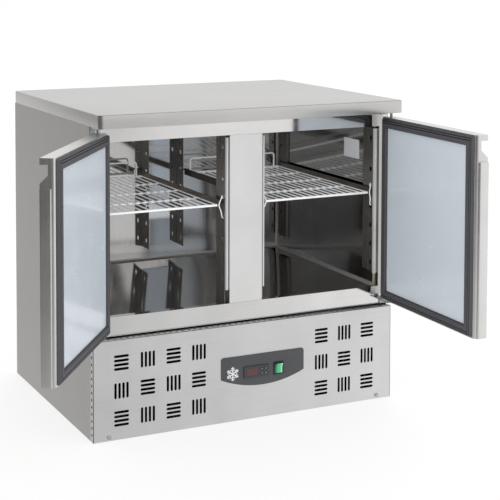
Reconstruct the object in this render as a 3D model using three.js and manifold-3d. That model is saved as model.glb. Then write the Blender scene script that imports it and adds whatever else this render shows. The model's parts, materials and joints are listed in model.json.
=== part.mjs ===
// Two-door undercounter refrigerator, with both doors standing open.
// Millimetres. +X is right as seen from the front, +Y is to the back, +Z is up.
// The origin is the middle of the base pan's underside.

import * as THREE from 'three';
import { mergeVertices } from 'three/addons/utils/BufferGeometryUtils.js';
import Module from 'manifold-3d';

const wasm = await Module();
wasm.setup();

// ---------------------------------------------------------------- driving dimensions

const WIDTH = 900;
const DEPTH = 700;
const HEIGHT = 850;
const TOP_THICKNESS = 35;
const TOP_CORNER_RADIUS = 12;
const SHEET = 1.2;
const GAP = 0.3;

const SIDE_X = 449;
const BACK_Y = 348;
const FRAME_Y = -275;
const PANEL_Y = -297;
const UNDER_TOP = HEIGHT - TOP_THICKNESS;
const PANEL_TOP = 262;
const RAIL_BOTTOM = 266;
const RETURN_DEPTH = 20;
const OPENING = { halfWidth: 420.5, bottom: 316, top: 771 };
const MULLION_HALF = 49;
const BASE_THICKNESS = 1.5;

const LINER = { halfWidth: 416, front: -254, back: 308, floor: 314, ceiling: 775 };
const LINER_SHEET = 1;

const HINGE_X = 438;
const HINGE_Y = -309;
const PIN_RADIUS = 4;
const OPEN_LEFT = 126.8;
const OPEN_RIGHT = 88.7;
// A door in its own frame: x runs from the hinge axis to the free edge, +y to the cabinet.
const DOOR = { hingeEdge: -6, freeEdge: 429, front: -12.5, back: 23.5, bottom: 286, top: 801 };
const DOOR_EDGE_RADIUS = 8;
const GASKET = { hingeEdge: -1, freeEdge: 422, bottom: 290, top: 797, width: 25, back: 33.6 };
const GRIP = { start: 369, wall: 3, depth: 20, proud: 6, round: 3, top: 733 };
const NOTCH = { top: 786, bottom: 763 };

const SHELF = { inner: 74, outer: 400, front: -251, back: 279, top: 583 };
const UPRIGHT = { width: 52, slotInset: 13, bottom: 357, top: 765, face: 408.8, centreFace: 58 };
const FRONT_SLOT_Y = -250;
const REAR_SLOT_Y = 276;
const SLOT_HEIGHTS = [381, 434, 487, 541, 594, 647, 736];
const RUNNER_SLOT = 4;

const FASCIA = { x: 41, halfWidth: 126, top: 176, corner: 116.5, lowest: 90, thickness: 2 };
const CONTROLLER = { x: 19.5, z: 129, halfWidth: 37.5, halfHeight: 15.5, proud: 3.4 };
const SWITCH = { x: 88, z: 130, tilt: 8 };

// ---------------------------------------------------------------- finishes

const FINISH = {
  topSteel: ['#c9c8c6', 0.32, 0.95],
  panelSteel: ['#b9b8b6', 0.36, 0.95],
  linerSteel: ['#9a9590', 0.12, 1.0],
  uprightSteel: ['#8b857f', 0.3, 0.95],
  galvanised: ['#8f9396', 0.5, 0.85],
  foam: ['#e3d9b8', 0.95, 0.0],
  paleStrip: ['#dcd9d0', 0.5, 0.0],
  gasket: ['#4f4e52', 0.7, 0.0],
  innerPanel: ['#bdc5cc', 0.25, 0.0],
  whiteWire: ['#eceded', 0.4, 0.0],
  charcoal: ['#414244', 0.45, 0.0],
  blackPlastic: ['#17181a', 0.4, 0.0],
  redWindow: ['#3a1416', 0.1, 0.0],
  greyKey: ['#8e9296', 0.6, 0.0],
  greenLens: ['#3fb37a', 0.3, 0.0],
  zincSteel: ['#aaa8a4', 0.4, 0.9],
  blackEnamel: ['#1d1e20', 0.35, 0.2],
  aluminium: ['#b7babd', 0.4, 0.9],
  copper: ['#b06a45', 0.35, 1.0],
};

// ---------------------------------------------------------------- solids

function solidOf(geometry) {
  geometry.deleteAttribute('normal');
  geometry.deleteAttribute('uv');
  const merged = mergeVertices(geometry, 1e-4);
  return new wasm.Manifold(new wasm.Mesh({
    numProp: 3,
    vertProperties: new Float32Array(merged.attributes.position.array),
    triVerts: new Uint32Array(merged.index.array),
  }));
}

function geometryOf(solid) {
  const mesh = solid.getMesh();
  const geometry = new THREE.BufferGeometry();
  geometry.setAttribute('position', new THREE.BufferAttribute(mesh.vertProperties, 3));
  geometry.setIndex(new THREE.BufferAttribute(mesh.triVerts, 1));
  geometry.computeVertexNormals();
  return geometry;
}

function block(x0, x1, y0, y1, z0, z1) {
  const size = [x1 - x0, y1 - y0, z1 - z0].map(Math.abs);
  const geometry = new THREE.BoxGeometry(...size);
  geometry.translate((x0 + x1) / 2, (y0 + y1) / 2, (z0 + z1) / 2);
  return solidOf(geometry);
}

function outline(points) {
  return new THREE.Shape(points.map(([a, b]) => new THREE.Vector2(a, b)));
}

function extrude(shape, length, curveSegments = 4) {
  return new THREE.ExtrudeGeometry(shape, { depth: length, bevelEnabled: false, curveSegments });
}

// The shape lies in XY and runs along Z.
function prismZ(shape, z0, z1, curveSegments) {
  const geometry = extrude(shape, z1 - z0, curveSegments);
  geometry.translate(0, 0, z0);
  return solidOf(geometry);
}

// The shape lies in YZ and runs along X.
function prismX(shape, x0, x1, curveSegments) {
  const geometry = extrude(shape, x1 - x0, curveSegments);
  const turn = new THREE.Matrix4().makeBasis(
    new THREE.Vector3(0, 1, 0), new THREE.Vector3(0, 0, 1), new THREE.Vector3(1, 0, 0),
  );
  geometry.applyMatrix4(turn);
  geometry.translate(x0, 0, 0);
  return solidOf(geometry);
}

// The shape lies in XZ and runs along Y.
function prismY(shape, y0, y1, curveSegments) {
  const geometry = extrude(shape, y1 - y0, curveSegments);
  geometry.rotateX(Math.PI / 2);
  geometry.translate(0, y1, 0);
  return solidOf(geometry);
}

function rod(axis, radius, centre, from, to, sides = 12) {
  const geometry = new THREE.CylinderGeometry(radius, radius, to - from, sides);
  const middle = (from + to) / 2;
  const [a, b] = centre;
  if (axis === 'x') {
    geometry.rotateZ(-Math.PI / 2);
    geometry.translate(middle, a, b);
  } else if (axis === 'y') {
    geometry.translate(a, middle, b);
  } else {
    geometry.rotateX(Math.PI / 2);
    geometry.translate(a, b, middle);
  }
  return solidOf(geometry);
}

function tube(points, radius, steps) {
  const ring = new THREE.Shape().absarc(0, 0, radius, 0, 2 * Math.PI);
  const curve = new THREE.CatmullRomCurve3(points.map((p) => new THREE.Vector3(...p)));
  const geometry = new THREE.ExtrudeGeometry(ring, { extrudePath: curve, steps, curveSegments: 3 });
  return solidOf(geometry);
}

function lathe(profile, x, y, sides) {
  const geometry = new THREE.LatheGeometry(profile.map(([r, z]) => new THREE.Vector2(r, z)), sides);
  geometry.rotateX(Math.PI / 2);
  geometry.translate(x, y, 0);
  return solidOf(geometry);
}

function union(solids) {
  return solids.reduce((whole, solid) => whole.add(solid));
}

function cut(solid, tools) {
  return solid.subtract(union(tools));
}

function addPart(group, name, solid, finish) {
  const [color, roughness, metalness] = FINISH[finish];
  const material = new THREE.MeshStandardMaterial({ color, roughness, metalness });
  const mesh = new THREE.Mesh(geometryOf(solid), material);
  mesh.name = name;
  group.add(mesh);
}

// ---------------------------------------------------------------- cabinet

function roundedRectangle(halfX, halfY, radius) {
  const shape = new THREE.Shape();
  shape.absarc(halfX - radius, halfY - radius, radius, 0, Math.PI / 2);
  shape.absarc(radius - halfX, halfY - radius, radius, Math.PI / 2, Math.PI);
  shape.absarc(radius - halfX, radius - halfY, radius, Math.PI, 1.5 * Math.PI);
  shape.absarc(halfX - radius, radius - halfY, radius, 1.5 * Math.PI, 2 * Math.PI);
  return shape;
}

// A folded tray, upside down, with an opening underneath for the foam of the cabinet.
const TOP_OPENING = { halfWidth: 434, front: -262, back: 335 };

function worktop() {
  const halfX = WIDTH / 2;
  const halfY = DEPTH / 2;
  const { halfWidth, front, back } = TOP_OPENING;
  const whole = prismZ(roundedRectangle(halfX, halfY, TOP_CORNER_RADIUS), UNDER_TOP, HEIGHT, 4);
  const inner = roundedRectangle(halfX - SHEET, halfY - SHEET, TOP_CORNER_RADIUS - SHEET);
  const hollow = prismZ(inner, UNDER_TOP + SHEET, HEIGHT - SHEET, 4);
  const opening = block(-halfWidth, halfWidth, front, back, UNDER_TOP - 1, UNDER_TOP + SHEET + 1);
  return cut(whole, [hollow, opening]);
}

function sidePanel(side) {
  const outer = side * SIDE_X;
  const inner = side * (SIDE_X - SHEET);
  const flangeWidth = 15;
  const sheet = block(outer, inner, FRAME_Y, BACK_Y, 0, UNDER_TOP - GAP);
  const rearFlange = block(outer, side * (SIDE_X - flangeWidth), BACK_Y - SHEET, BACK_Y, 0, UNDER_TOP - GAP);
  return sheet.add(rearFlange);
}

function backPanel() {
  const halfWidth = SIDE_X - 15 - GAP;
  const y0 = BACK_Y - SHEET;
  const sheet = block(-halfWidth, halfWidth, y0, BACK_Y, BASE_THICKNESS + GAP, UNDER_TOP - GAP);
  const slots = [];
  for (const x of [-300, -220, 220, 300]) {
    for (let row = 0; row < 4; row += 1) {
      slots.push(prismY(slotShape(x, 90 + 22 * row, 50, 8, true), y0 - 1, BACK_Y + 1));
    }
  }
  return cut(sheet, slots);
}

function basePan() {
  const halfWidth = SIDE_X - SHEET - GAP;
  const front = PANEL_Y + SHEET + GAP;
  const back = BACK_Y - SHEET - GAP;
  const edge = 20;
  const floor = block(-halfWidth, halfWidth, front, back, 0, BASE_THICKNESS);
  const frontEdge = block(-halfWidth, halfWidth, front, front + SHEET, 0, edge);
  const backEdge = block(-halfWidth, halfWidth, back - SHEET, back, 0, edge);
  const screwHoles = [-1, 1].map((side) => (
    rod('y', 2.8, [side * SCREW.x, SCREW.z], front - 1, front + SHEET + 1, 8)
  ));
  return cut(union([floor, frontEdge, backEdge]), screwHoles);
}

function frontFrame() {
  const halfWidth = SIDE_X - SHEET - GAP;
  const { halfWidth: openX, bottom, top } = OPENING;
  const back = FRAME_Y + SHEET;
  const face = block(-halfWidth, halfWidth, FRAME_Y, back, RAIL_BOTTOM, UNDER_TOP - GAP);
  const sleeve = block(
    -openX - SHEET, openX + SHEET, FRAME_Y, FRAME_Y + RETURN_DEPTH, bottom - SHEET, top + SHEET,
  );
  const railHem = block(-halfWidth, halfWidth, FRAME_Y, FRAME_Y + 12, RAIL_BOTTOM, RAIL_BOTTOM + SHEET);
  const opening = block(-openX, openX, FRAME_Y - 1, FRAME_Y + RETURN_DEPTH + 1, bottom, top);
  return cut(union([face, sleeve, railHem]), [opening]);
}

function centreMullion() {
  const bottom = OPENING.bottom + GAP;
  const top = OPENING.top - GAP;
  const channel = block(-MULLION_HALF, MULLION_HALF, FRAME_Y, FRAME_Y + RETURN_DEPTH, bottom, top);
  const inside = block(
    SHEET - MULLION_HALF, MULLION_HALF - SHEET, FRAME_Y + SHEET, FRAME_Y + RETURN_DEPTH + 1,
    bottom - 1, top + 1,
  );
  return cut(channel, [inside]);
}

// A pale strip beside the cold edge of the opening, held off it by a thin foot that leaves a groove.
// Toward is the side that faces the bay.
function breakerStrip(edgeX, toward, groove, tipWidth) {
  const edge = edgeX + toward * GAP;
  const base = edgeX + toward * groove;
  const tip = base + toward * tipWidth;
  const front = FRAME_Y + 1.5;
  const back = FRAME_Y + 11.4;
  const shape = outline([
    [base, front], [tip - toward * 2, front], [tip, front + 2.5], [tip, back], [edge, back],
    [edge, back - 2], [base, back - 2],
  ]);
  return prismZ(shape, OPENING.bottom + 36, OPENING.top - 7);
}

function liner() {
  const { halfWidth, front, back, floor, ceiling } = LINER;
  const outer = block(
    -halfWidth - LINER_SHEET, halfWidth + LINER_SHEET, front, back + LINER_SHEET,
    floor - LINER_SHEET, ceiling + LINER_SHEET,
  );
  return cut(outer, [block(-halfWidth, halfWidth, front - 1, back, floor, ceiling)]);
}

function insulation() {
  const halfWidth = SIDE_X - SHEET - GAP;
  const front = LINER.front + 0.5;
  const back = BACK_Y - SHEET - GAP;
  const wall = LINER_SHEET + GAP;
  const lower = block(-halfWidth, halfWidth, front, back, RAIL_BOTTOM + 2, UNDER_TOP - GAP);
  const upper = block(
    GAP - TOP_OPENING.halfWidth, TOP_OPENING.halfWidth - GAP, front, TOP_OPENING.back - GAP,
    UNDER_TOP - 1, HEIGHT - SHEET - GAP,
  );
  const tankSpace = block(
    -LINER.halfWidth - wall, LINER.halfWidth + wall, front - 1, LINER.back + wall,
    LINER.floor - wall, LINER.ceiling + wall,
  );
  const { halfWidth: coilX, bottom: coilBottom, top: coilTop, back: coilBack, pipeX } = EVAPORATOR;
  const coilSpace = block(
    -coilX - 3, coilX + 3, LINER.back, coilBack + 1, coilBottom - 3, coilTop + 3,
  );
  const pipeSpace = block(
    pipeX - 9, pipeX + 9, LINER.back, coilBack + 8, RAIL_BOTTOM, coilBottom + 10,
  );
  return cut(lower.add(upper), [tankSpace, coilSpace, pipeSpace]);
}

// ---------------------------------------------------------------- shelf posts, runners and clips

function slotBlocks(x0, x1, slotY, heights) {
  const halfWidth = 5.5;
  const halfHeight = 5.5;
  return heights.map((z) => (
    block(x0, x1, slotY - halfWidth, slotY + halfWidth, z - halfHeight, z + halfHeight)
  ));
}

// A channel post on a side wall, with its slotted face towards the bay.
function wallUpright(side, atFront) {
  const near = atFront ? FRONT_SLOT_Y - UPRIGHT.slotInset : REAR_SLOT_Y + UPRIGHT.slotInset - UPRIGHT.width;
  const slotY = atFront ? FRONT_SLOT_Y : REAR_SLOT_Y;
  const far = near + UPRIGHT.width;
  const face = side * UPRIGHT.face;
  const wall = side * (LINER.halfWidth - GAP);
  const post = block(face, wall, near, far, UPRIGHT.bottom, UPRIGHT.top);
  const inside = block(
    face + side * SHEET, wall + side, near + SHEET, far - SHEET, UPRIGHT.bottom - 1, UPRIGHT.top + 1,
  );
  const slots = slotBlocks(face - side, face + side * (SHEET + 1), slotY, SLOT_HEIGHTS);
  return cut(post, [inside, ...slots]);
}

// A wide channel behind the mullion, or at the rear wall, slotted towards both bays.
function centreUpright(atFront) {
  const { width, slotInset, centreFace: face } = UPRIGHT;
  const inner = face - SHEET;
  const bottom = atFront ? LINER.floor + GAP : UPRIGHT.bottom;
  const top = atFront ? LINER.ceiling - GAP : UPRIGHT.top;
  const near = atFront ? FRONT_SLOT_Y - slotInset : LINER.back - GAP - width;
  const far = near + width;
  const web = atFront ? LINER.front + 1.5 : far - SHEET;
  const slotY = atFront ? FRONT_SLOT_Y : REAR_SLOT_Y;
  const post = block(-face, face, near, far, bottom, top);
  const tools = [block(-inner, inner, near - 1, web, bottom - 1, top + 1)];
  if (atFront) {
    const frameBack = LINER.front - 0.5;
    tools.push(
      block(-inner, inner, web + SHEET, far + 1, bottom - 1, top + 1),
      block(-face - 1, face + 1, near - 1, frameBack, bottom - 1, OPENING.bottom + GAP),
      block(-face - 1, face + 1, near - 1, frameBack, OPENING.top - GAP, top + 1),
    );
  }
  for (const side of [-1, 1]) {
    tools.push(...slotBlocks(side * (face + 1), side * (inner - 0.2), slotY, SLOT_HEIGHTS));
  }
  return cut(post, tools);
}

// An angle under one edge of a shelf, hooked into the slots of a front and a rear post.
function shelfRunner(side, outerEdge) {
  const away = outerEdge ? side : -side;
  const shelfEdge = side * (outerEdge ? SHELF.outer : SHELF.inner);
  const face = side * (outerEdge ? UPRIGHT.face : UPRIGHT.centreFace);
  const web = shelfEdge + away * 2;
  const bottom = SHELF.top - 6 - GAP - SHEET;
  const top = bottom + 20;
  const y0 = FRONT_SLOT_Y - 1;
  const y1 = REAR_SLOT_Y + 1;
  const slotZ = SLOT_HEIGHTS[RUNNER_SLOT];
  const leg = block(web, web + away * SHEET, y0, y1, bottom, top);
  const ledge = block(web + away * SHEET, web - away * 16, y0, y1, bottom, bottom + SHEET);
  const hooks = [FRONT_SLOT_Y, REAR_SLOT_Y].map((y) => (
    block(web, face + away * 3, y - 1, y + 1, slotZ - 4.5, slotZ - 1)
  ));
  return union([leg, ledge, ...hooks]);
}

// A white wire clip like a wishbone: its bend holds a shelf's front corner and its two arms
// hook into two slots of the post, one above the other.
function shelfClip(side, outerEdge) {
  const away = outerEdge ? side : -side;
  const face = side * (outerEdge ? UPRIGHT.face : UPRIGHT.centreFace);
  const bend = side * (outerEdge ? SHELF.outer : SHELF.inner) + away * 2.4;
  const upper = SLOT_HEIGHTS[RUNNER_SLOT] + 3;
  const lower = SLOT_HEIGHTS[RUNNER_SLOT - 1] + 2;
  const middle = (face + bend) / 2;
  return tube([
    [face + away * 3, FRONT_SLOT_Y + 1.5, upper],
    [face - away, FRONT_SLOT_Y + 0.8, upper + 1],
    [face - away * 2.5, FRONT_SLOT_Y - 3, upper + 9],
    [middle, FRONT_SLOT_Y - 4.5, upper],
    [bend, FRONT_SLOT_Y - 5.5, SHELF.top - 2],
    [middle, FRONT_SLOT_Y - 4.5, lower + 20],
    [face - away * 2, FRONT_SLOT_Y - 1.5, lower + 3],
    [face + away * 3, FRONT_SLOT_Y + 1.5, lower],
  ], 1.5, 18);
}

// ---------------------------------------------------------------- shelves

function shelf(side) {
  const wires = 16;
  const crossBars = 3;
  const inner = side * SHELF.inner;
  const outer = side * SHELF.outer;
  const barTop = SHELF.top - 2;
  const barHeight = 4;
  const pieces = [
    block(inner, outer, SHELF.front, SHELF.front + 6, SHELF.top - 6, SHELF.top),
    block(inner, outer, SHELF.back - 6, SHELF.back, SHELF.top - 6, SHELF.top),
  ];
  const pitchY = (SHELF.back - SHELF.front) / (crossBars + 1);
  for (let bar = 1; bar <= crossBars; bar += 1) {
    const y = SHELF.front + bar * pitchY;
    pieces.push(block(inner, outer, y - 2, y + 2, barTop - barHeight, barTop));
  }
  const wireWidth = 3;
  const first = SHELF.inner + wireWidth / 2;
  const pitchX = (SHELF.outer - SHELF.inner - wireWidth) / (wires - 1);
  for (let wire = 0; wire < wires; wire += 1) {
    const x = side * (first + wire * pitchX);
    const half = wireWidth / 2;
    pieces.push(block(x - half, x + half, SHELF.front + 2, SHELF.back - 2, barTop - 0.5, SHELF.top - GAP));
  }
  pieces.push(rearUpstand(side));
  return union(pieces);
}

function rearUpstand(side) {
  const inset = 14;
  const height = 44;
  const a = side * (SHELF.inner + inset);
  const b = side * (SHELF.outer - inset);
  const y0 = SHELF.back - 6;
  const y1 = SHELF.back - 1;
  const top = SHELF.top + height;
  const loop = block(a, b, y0, y1, SHELF.top - 3, top);
  return cut(loop, [block(a + side * 5, b - side * 5, y0 - 1, y1 + 1, SHELF.top - 4, top - 5)]);
}

// ---------------------------------------------------------------- front grille panel

const SCREW = { x: 405, z: 9 };
const VENT = { size: 41.5, height: 6.8, pitch: 11.1, columns: [-371, -297, -223.5, -150, 223.5, 297, 371] };
VENT.rows = [202, 128.5, 55.5];

// A long slot with tapered ends, lying level or upright.
function slotShape(x, z, length, width, level) {
  const end = length / 2;
  const shoulder = end - width / 2;
  const half = width / 2;
  const points = [
    [-end, 0], [-shoulder, -half], [shoulder, -half], [end, 0], [shoulder, half], [-shoulder, half],
  ];
  return outline(points.map(([a, b]) => (level ? [x + a, z + b] : [x - b, z + a])));
}

function ventCutters() {
  const cutters = [];
  VENT.rows.forEach((z, row) => {
    VENT.columns.forEach((x, column) => {
      const firstOfBlock = column < 4 ? 0 : 4;
      const level = (row + column - firstOfBlock) % 2 === 0;
      for (let slot = -1.5; slot <= 1.5; slot += 1) {
        const shift = slot * VENT.pitch;
        const centre = level ? [x, z + shift] : [x + shift, z];
        const shape = slotShape(...centre, VENT.size, VENT.height, level);
        cutters.push(prismY(shape, PANEL_Y - 1, PANEL_Y + SHEET + 1));
      }
    });
  });
  return cutters;
}

// The openings that the controller and the switch pass through.
function controlCutters(y0, y1) {
  const { x, z } = CONTROLLER;
  return [
    block(x - 35.3, x + 35.3, y0, y1, z - 14.3, z + 14.3),
    block(SWITCH.x - 13.8, SWITCH.x + 13.8, y0, y1, SWITCH.z - 16.3, SWITCH.z + 16.3),
  ];
}

// Rows of short slots run along the middle of the top and the side returns.
function returnSlots() {
  const halfLength = 4.5;
  const y0 = PANEL_Y + 7.5;
  const y1 = PANEL_Y + 14.5;
  const deep = SHEET + 1;
  const topPitch = 17.5;
  const sidePitch = 18.4;
  const tools = [];
  for (let slot = -25; slot <= 25; slot += 1) {
    const x = slot * topPitch;
    tools.push(block(x - halfLength, x + halfLength, y0, y1, PANEL_TOP - deep, PANEL_TOP + 1));
  }
  for (const side of [-1, 1]) {
    const inner = side * (SIDE_X - deep);
    const outer = side * (SIDE_X + 1);
    for (let slot = 1; slot <= 13; slot += 1) {
      const z = slot * sidePitch;
      tools.push(block(inner, outer, y0, y1, z - halfLength, z + halfLength));
    }
  }
  return tools;
}

function frontGrillePanel() {
  const back = FRAME_Y - 2 * GAP;
  const face = block(-SIDE_X, SIDE_X, PANEL_Y, PANEL_Y + SHEET, 0, PANEL_TOP);
  const topReturn = block(-SIDE_X, SIDE_X, PANEL_Y, back, PANEL_TOP - SHEET, PANEL_TOP);
  const sideReturns = [-1, 1].map((side) => (
    block(side * SIDE_X, side * (SIDE_X - SHEET), PANEL_Y, back, 0, PANEL_TOP)
  ));
  const screwHoles = [-1, 1].map((side) => (
    rod('y', 2.8, [side * SCREW.x, SCREW.z], PANEL_Y - 1, PANEL_Y + SHEET + 1, 8)
  ));
  return cut(union([face, topReturn, ...sideReturns]), [
    ...ventCutters(), ...controlCutters(PANEL_Y - 1, PANEL_Y + SHEET + 1), ...screwHoles, ...returnSlots(),
  ]);
}

function panelScrew(side) {
  const head = prismX(outline([
    [PANEL_Y - GAP / 3, -6], [PANEL_Y - GAP / 3, 6], [PANEL_Y - 1.6, 5], [PANEL_Y - 2.6, 2.4],
    [PANEL_Y - 2.6, -2.4], [PANEL_Y - 1.6, -5],
  ]), -6, 6);
  const round = rod('y', 6, [0, 0], PANEL_Y - 4, PANEL_Y, 12);
  const shank = rod('y', 2.2, [0, 0], PANEL_Y - 1, PANEL_Y + 7, 8);
  return head.intersect(round).add(shank).translate([side * SCREW.x, 0, SCREW.z]);
}

// ---------------------------------------------------------------- controls

function controlFascia() {
  const { x, halfWidth, top, corner, lowest, thickness } = FASCIA;
  const radius = 8;
  const drop = corner - lowest;
  const sweep = (halfWidth * halfWidth + drop * drop) / (2 * drop);
  const centreZ = lowest + sweep;
  const reach = Math.asin(halfWidth / sweep);
  const shape = new THREE.Shape();
  shape.absarc(x, centreZ, sweep, -Math.PI / 2 - reach, -Math.PI / 2 + reach);
  shape.absarc(x + halfWidth - radius, top - radius, radius, 0, Math.PI / 2);
  shape.absarc(x - halfWidth + radius, top - radius, radius, Math.PI / 2, Math.PI);
  const plate = prismY(shape, PANEL_Y - thickness, PANEL_Y - 0.05, 8);
  return cut(plate, controlCutters(PANEL_Y - thickness - 1, PANEL_Y + 1));
}

const KEYS = [
  ['upper_left', 16, 6.2], ['upper_right', 28, 6.2], ['lower_left', 16, -6.2], ['lower_right', 28, -6.2],
];
const BEZEL_BACK = PANEL_Y - FASCIA.thickness - 0.1;
const BEZEL_FRONT = BEZEL_BACK - CONTROLLER.proud;

function controllerBody() {
  const { x, z, halfWidth, halfHeight } = CONTROLLER;
  const bezel = block(x - halfWidth, x + halfWidth, BEZEL_FRONT, BEZEL_BACK, z - halfHeight, z + halfHeight);
  const body = block(x - 35, x + 35, BEZEL_BACK - 1, BEZEL_BACK + 60, z - 14, z + 14);
  const windowPocket = block(x - 30, x + 5, BEZEL_FRONT - 1, BEZEL_FRONT + 1.5, z - 10.5, z + 10.5);
  const keyPockets = KEYS.map(([, dx, dz]) => (
    block(x + dx - 4, x + dx + 4, BEZEL_FRONT - 1, BEZEL_FRONT + 4.3, z + dz - 3, z + dz + 3)
  ));
  return cut(bezel.add(body), [windowPocket, ...keyPockets]);
}

function displayWindow() {
  const { x, z } = CONTROLLER;
  return block(x - 29.7, x + 4.7, BEZEL_FRONT + 0.2, BEZEL_FRONT + 1.4, z - 10.2, z + 10.2);
}

function controllerKey(dx, dz) {
  const x = CONTROLLER.x + dx;
  const z = CONTROLLER.z + dz;
  return block(x - 3.6, x + 3.6, BEZEL_FRONT - 0.6, BEZEL_FRONT + 3.4, z - 2.6, z + 2.6);
}

function switchHousing() {
  const { x, z } = SWITCH;
  const flange = block(x - 15, x + 15, BEZEL_BACK - 2, BEZEL_BACK, z - 17.3, z + 17.3);
  const body = block(x - 13.5, x + 13.5, BEZEL_BACK - 1, BEZEL_BACK + 28, z - 16, z + 16);
  const well = block(x - 12, x + 12, BEZEL_BACK - 3, BEZEL_BACK + 14, z - 14.6, z + 14.6);
  const pivotHoles = rod('x', 1.9, [ROCKER_Y, z], x - 13, x + 13, 8);
  return cut(flange.add(body), [well, pivotHoles]);
}

const ROCKER_Y = BEZEL_BACK + 1.2;

// The rocker about its own pivot, at the origin, with its pressed end up.
function switchRocker() {
  const profile = outline([[7, -9], [-4.6, -13.6], [-2.2, 0], [-4.6, 13.6], [7, 9]]);
  const trunnions = rod('x', 1.5, [0, 0], -12.8, 12.8, 8);
  return prismX(profile, -11.6, 11.6).add(trunnions);
}

// ---------------------------------------------------------------- doors

// Mirrors an x coordinate for the right door.
function doorOutline(side, points) {
  return outline(points.map(([x, y]) => [side * x, y]));
}

function doorBlock(side, x0, x1, y0, y1, z0, z1) {
  return block(side * x0, side * x1, y0, y1, z0, z1);
}

// The rounded corner between the free edge and the back, drawn the given wall inside the sheet.
function freeCorner(wall) {
  const { freeEdge, back } = DOOR;
  const steps = 4;
  const points = [];
  for (let step = 0; step <= steps; step += 1) {
    const angle = (Math.PI / 2) * (step / steps);
    points.push([
      freeEdge - DOOR_EDGE_RADIUS + (DOOR_EDGE_RADIUS - wall) * Math.cos(angle),
      back - DOOR_EDGE_RADIUS + (DOOR_EDGE_RADIUS - wall) * Math.sin(angle),
    ]);
  }
  return points;
}

// The plan of the door's outside: a flat front, then the open channel behind the grip.
function doorPlan(side) {
  const { hingeEdge, freeEdge, front, back } = DOOR;
  const channelFloor = front + GRIP.depth;
  const gripInside = freeEdge - GRIP.wall;
  return doorOutline(side, [
    [hingeEdge, back], [hingeEdge, front], [GRIP.start, front], [GRIP.start, channelFloor],
    [gripInside, channelFloor], [gripInside, front], [freeEdge, front], ...freeCorner(0),
  ]);
}

// The space inside the sheet, shrunk by the given wall.
function doorCore(side, wall, z0, z1) {
  const { hingeEdge, freeEdge, front, back } = DOOR;
  const behindChannel = front + GRIP.depth + wall;
  return prismZ(doorOutline(side, [
    [hingeEdge + wall, back - wall], [hingeEdge + wall, front + wall],
    [GRIP.start - wall, front + wall], [GRIP.start - wall, behindChannel],
    [freeEdge - wall, behindChannel], ...freeCorner(wall),
  ]), z0, z1);
}

// The grip's outer side stands out from the free edge as a flat pad with rounded long edges.
function gripPad(side) {
  const { freeEdge, front, back, bottom } = DOOR;
  const { proud, round, top } = GRIP;
  const padBack = back - DOOR_EDGE_RADIUS;
  const steps = 4;
  const points = [[freeEdge - 1, front]];
  for (const [centreY, start] of [[front + round, -Math.PI / 2], [padBack - round, 0]]) {
    for (let step = 0; step <= steps; step += 1) {
      const angle = start + (Math.PI / 2) * (step / steps);
      const across = freeEdge + proud - round + round * Math.cos(angle);
      points.push([across, centreY + round * Math.sin(angle)]);
    }
  }
  points.push([freeEdge - 1, padBack]);
  return prismZ(doorOutline(side, points), bottom, top);
}

function pinHole(radius, z0, z1) {
  return rod('z', radius, [0, 0], z0, z1, 12);
}

function doorSkin(side) {
  const { freeEdge, front, back, bottom, top } = DOOR;
  const gripInside = freeEdge - GRIP.wall;
  const channelFloor = front + GRIP.depth;
  const seat = GASKET.width - 4;
  const whole = union([
    prismZ(doorPlan(side), bottom, top),
    doorBlock(side, GRIP.start - 1, freeEdge, front, channelFloor + 1, NOTCH.top, top),
    doorBlock(side, GRIP.start - 1, freeEdge, front, channelFloor + 1, bottom, bottom + 3),
    gripPad(side),
  ]);
  const notch = doorBlock(
    side, gripInside - 0.1, freeEdge + 10, front - 1, channelFloor, NOTCH.bottom, NOTCH.top,
  );
  const drop = GRIP.depth + 1;
  const chamfer = prismX(
    outline([
      [channelFloor, NOTCH.bottom + 0.01], [front - 1, NOTCH.bottom + 0.01], [front - 1, NOTCH.bottom - drop],
    ]),
    Math.min(side * (gripInside - 0.1), side * (freeEdge + 10)),
    Math.max(side * (gripInside - 0.1), side * (freeEdge + 10)),
  );
  const window = doorBlock(
    side, GASKET.hingeEdge + seat, GASKET.freeEdge - seat, back - 3, back + 1,
    GASKET.bottom + seat, GASKET.top - seat,
  );
  return cut(whole, [
    notch, chamfer, window,
    doorCore(side, SHEET, bottom + SHEET, top - SHEET),
    pinHole(PIN_RADIUS + 0.4, bottom - 1, bottom + 4),
    pinHole(PIN_RADIUS + 0.4, top - 4, top + 1),
  ]);
}

function doorFoam(side) {
  const wall = SHEET + GAP;
  const z0 = DOOR.bottom + wall;
  const z1 = DOOR.top - wall;
  const reach = PIN_RADIUS + 1;
  return cut(doorCore(side, wall, z0, z1), [
    doorBlock(side, DOOR.hingeEdge, reach, -reach, reach, z0 - 1, DOOR.bottom + 14),
    doorBlock(side, DOOR.hingeEdge, reach, -reach, reach, DOOR.top - 14, z1 + 1),
  ]);
}

function doorInnerPanel(side) {
  const inset = GASKET.width + GAP;
  const panel = doorBlock(
    side, GASKET.hingeEdge + inset, GASKET.freeEdge - inset, DOOR.back - SHEET, DOOR.back + 3,
    GASKET.bottom + inset, GASKET.top - inset,
  );
  return panel;
}

function gasketRing(side, outerInset, innerInset, y0, y1) {
  const { hingeEdge, freeEdge, bottom, top } = GASKET;
  const ring = doorBlock(
    side, hingeEdge + outerInset, freeEdge - outerInset, y0, y1, bottom + outerInset, top - outerInset,
  );
  const hole = doorBlock(
    side, hingeEdge + innerInset, freeEdge - innerInset, y0 - 1, y1 + 1,
    bottom + innerInset, top - innerInset,
  );
  return cut(ring, [hole]);
}

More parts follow.
